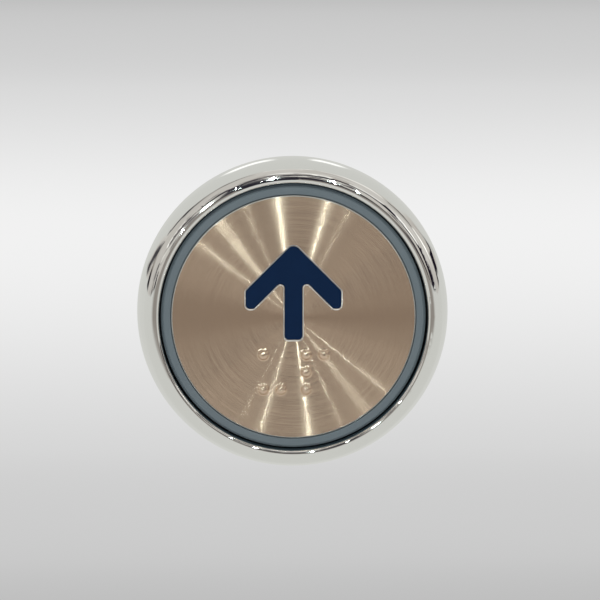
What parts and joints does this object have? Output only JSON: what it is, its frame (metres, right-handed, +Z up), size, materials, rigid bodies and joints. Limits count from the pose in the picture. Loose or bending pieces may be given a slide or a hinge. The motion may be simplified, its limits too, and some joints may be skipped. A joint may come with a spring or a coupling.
{
  "type": "illuminated push button",
  "caption": "Round illuminated call button with an up arrow and raised reading dots, for a panel hole; the sprung cap pushes a switch and its arrow and ring light up.",
  "frame": {"origin": "centre of the bezel's rear seat, on the front surface of the panel", "axes": "the button's axis is Y: -Y is the front face, +Y goes into the panel; +Z is up, the way the arrow points; +X is to the right seen from the front"},
  "size_m": [0.045, 0.0288, 0.045],
  "materials": {
    "chrome": "polished chrome plate",
    "spun_steel": "stainless steel, spun in circles",
    "adhesive": "double-sided film",
    "navy_plastic": "dark blue, moulded",
    "milky_plastic": "milky, diffusing",
    "light_guide": "grey-blue translucent",
    "white_plastic": "moulded, matt",
    "black_plastic": "moulded, fine texture",
    "gasket_rubber": "smooth",
    "zinc_steel": "zinc plated",
    "nut_plastic": "moulded, fine texture",
    "board_green": "solder resist",
    "lamp_white": "lamp body",
    "tinned_pin": "tinned",
    "spring_steel": "drawn wire",
    "header_white": "natural white, moulded",
    "resistor_black": "chip resistor"
  },
  "bodies": {
    "housing": {"bezel": "chrome", "housing": "black_plastic", "panel_gasket": "gasket_rubber", "circuit_board": "board_green", "ring_lamps": "lamp_white", "arrow_lamps": "lamp_white", "light_shroud": "white_plastic", "switch_body": "black_plastic", "switch_legs": "tinned_pin", "return_spring": "spring_steel", "connector_shell": "header_white", "connector_pins": "tinned_pin", "resistors": "resistor_black", "diode": "resistor_black", "rear_cover": "black_plastic", "cover_screws": "zinc_steel"},
    "button": {"face_plate": "spun_steel", "adhesive_film": "adhesive", "arrow_insert": "navy_plastic", "diffuser": "milky_plastic", "light_guide": "light_guide", "cap_carrier": "white_plastic"},
    "switch_plunger": {"switch_plunger": "white_plastic"},
    "ring_nut": {"ring_nut": "nut_plastic", "nut_washer": "zinc_steel"}
  },
  "joints": [
    {"name": "button_press", "type": "slide", "parent": "housing", "child": "button", "axis": [0, 1, 0], "range_m": [0, 0.0014], "stiffness_N_per_m": 500, "springref_m": -0.004, "deforming": ["return_spring"]},
    {"name": "switch_press", "type": "slide", "parent": "housing", "child": "switch_plunger", "axis": [0, 1, 0], "range_m": [0, 0.0014]},
    {"name": "nut_unscrew", "type": "slide", "parent": "housing", "child": "ring_nut", "axis": [0, 1, 0], "range_m": [0, 0.03]}
  ],
  "couplings": [
    {"joint": "switch_press", "follows": "button_press", "ratio": 1}
  ]
}
